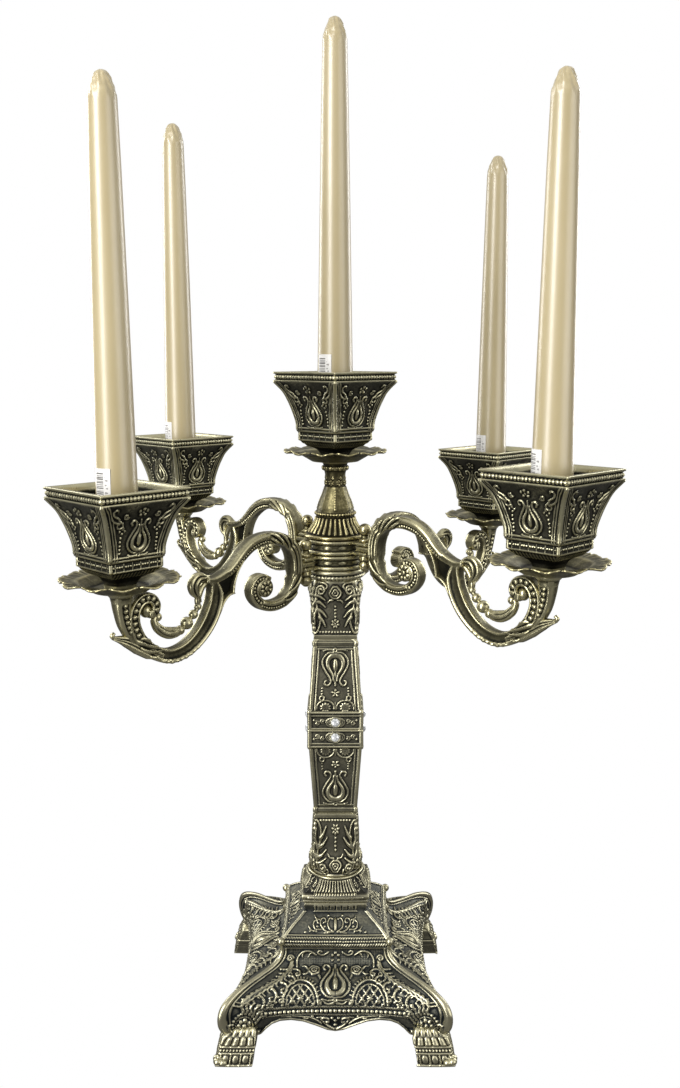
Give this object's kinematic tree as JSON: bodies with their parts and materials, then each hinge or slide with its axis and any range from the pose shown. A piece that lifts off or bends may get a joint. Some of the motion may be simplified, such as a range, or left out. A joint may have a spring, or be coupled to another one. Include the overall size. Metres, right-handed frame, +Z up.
{
  "type": "tabletop candelabra",
  "caption": "Tabletop candelabra in antique brass: claw-footed square base, square stem, scrolled swivelling arms, square flared cups with saucers, and taper candles.",
  "frame": {"origin": "on the table, under the central rod, at the middle of the square that the four feet cover", "axes": "+Z up along the central rod, -Y towards the base's front face, +X to the right seen from the front; the crossbars lie on the diagonals"},
  "size_m": [0.3044, 0.3044, 0.6304],
  "materials": {
    "antique_brass": "antiqued: dark patina in the recesses, rubbed bright on the raised ornament",
    "crystal": "clear faceted",
    "candle_wax": "pearly wax, satin",
    "steel": "zinc plated"
  },
  "bodies": {
    "stand": {"base_shell": "antique_brass", "foot_front_left": "antique_brass", "foot_front_right": "antique_brass", "foot_back_left": "antique_brass", "foot_back_right": "antique_brass", "plinth": "antique_brass", "stem_lower_flare": "antique_brass", "stem_lower_shaft": "antique_brass", "stem_upper_shaft": "antique_brass", "stem_upper_flare": "antique_brass", "crystals_lower": "crystal", "crystals_upper": "crystal", "hub_cap_ring": "antique_brass", "neck": "antique_brass", "central_rod": "steel", "rod_nut": "steel", "rod_washer": "steel", "saucer_centre": "antique_brass", "screw_centre": "steel"},
    "arm_pair_lower": {"arm_ring_lower": "antique_brass", "arm_front_left": "antique_brass", "arm_pin_front_left": "antique_brass", "pin_nut_front_left": "antique_brass", "saucer_front_left": "antique_brass", "screw_front_left": "steel", "arm_back_right": "antique_brass", "arm_pin_back_right": "antique_brass", "pin_nut_back_right": "antique_brass", "saucer_back_right": "antique_brass", "screw_back_right": "steel"},
    "arm_pair_upper": {"arm_ring_upper": "antique_brass", "arm_front_right": "antique_brass", "arm_pin_front_right": "antique_brass", "pin_nut_front_right": "antique_brass", "saucer_front_right": "antique_brass", "screw_front_right": "steel", "arm_back_left": "antique_brass", "arm_pin_back_left": "antique_brass", "pin_nut_back_left": "antique_brass", "saucer_back_left": "antique_brass", "screw_back_left": "steel"},
    "turning_cup_centre": {"cup_centre": "antique_brass", "socket_centre": "antique_brass"},
    "loose_candle_centre": {"candle_centre": "candle_wax"},
    "turning_cup_front_left": {"cup_front_left": "antique_brass", "socket_front_left": "antique_brass"},
    "loose_candle_front_left": {"candle_front_left": "candle_wax"},
    "turning_cup_back_right": {"cup_back_right": "antique_brass", "socket_back_right": "antique_brass"},
    "loose_candle_back_right": {"candle_back_right": "candle_wax"},
    "turning_cup_front_right": {"cup_front_right": "antique_brass", "socket_front_right": "antique_brass"},
    "loose_candle_front_right": {"candle_front_right": "candle_wax"},
    "turning_cup_back_left": {"cup_back_left": "antique_brass", "socket_back_left": "antique_brass"},
    "loose_candle_back_left": {"candle_back_left": "candle_wax"}
  },
  "joints": [
    {"name": "lower_pair_swivel", "type": "hinge", "parent": "stand", "child": "arm_pair_lower", "pos_m": [0, 0, 0.30715], "axis": [0, 0, 1], "range_deg": [-25, 25]},
    {"name": "upper_pair_swivel", "type": "hinge", "parent": "stand", "child": "arm_pair_upper", "pos_m": [0, 0, 0.31665], "axis": [0, 0, 1], "range_deg": [-25, 25]},
    {"name": "cup_turn_centre", "type": "hinge", "parent": "stand", "child": "turning_cup_centre", "pos_m": [0, 0, 0.3694], "axis": [0, 0, 1], "continuous": true},
    {"name": "candle_lift_centre", "type": "slide", "parent": "turning_cup_centre", "child": "loose_candle_centre", "axis": [0, 0, 1], "range_m": [0, 0.06]},
    {"name": "cup_turn_front_left", "type": "hinge", "parent": "arm_pair_lower", "child": "turning_cup_front_left", "pos_m": [-0.11384, -0.11384, 0.31165], "axis": [0, 0, 1], "continuous": true},
    {"name": "candle_lift_front_left", "type": "slide", "parent": "turning_cup_front_left", "child": "loose_candle_front_left", "axis": [0, 0, 1], "range_m": [0, 0.06]},
    {"name": "cup_turn_back_right", "type": "hinge", "parent": "arm_pair_lower", "child": "turning_cup_back_right", "pos_m": [0.11384, 0.11384, 0.31165], "axis": [0, 0, 1], "continuous": true},
    {"name": "candle_lift_back_right", "type": "slide", "parent": "turning_cup_back_right", "child": "loose_candle_back_right", "axis": [0, 0, 1], "range_m": [0, 0.06]},
    {"name": "cup_turn_front_right", "type": "hinge", "parent": "arm_pair_upper", "child": "turning_cup_front_right", "pos_m": [0.11384, -0.11384, 0.32115], "axis": [0, 0, 1], "continuous": true},
    {"name": "candle_lift_front_right", "type": "slide", "parent": "turning_cup_front_right", "child": "loose_candle_front_right", "axis": [0, 0, 1], "range_m": [0, 0.06]},
    {"name": "cup_turn_back_left", "type": "hinge", "parent": "arm_pair_upper", "child": "turning_cup_back_left", "pos_m": [-0.11384, 0.11384, 0.32115], "axis": [0, 0, 1], "continuous": true},
    {"name": "candle_lift_back_left", "type": "slide", "parent": "turning_cup_back_left", "child": "loose_candle_back_left", "axis": [0, 0, 1], "range_m": [0, 0.06]}
  ]
}
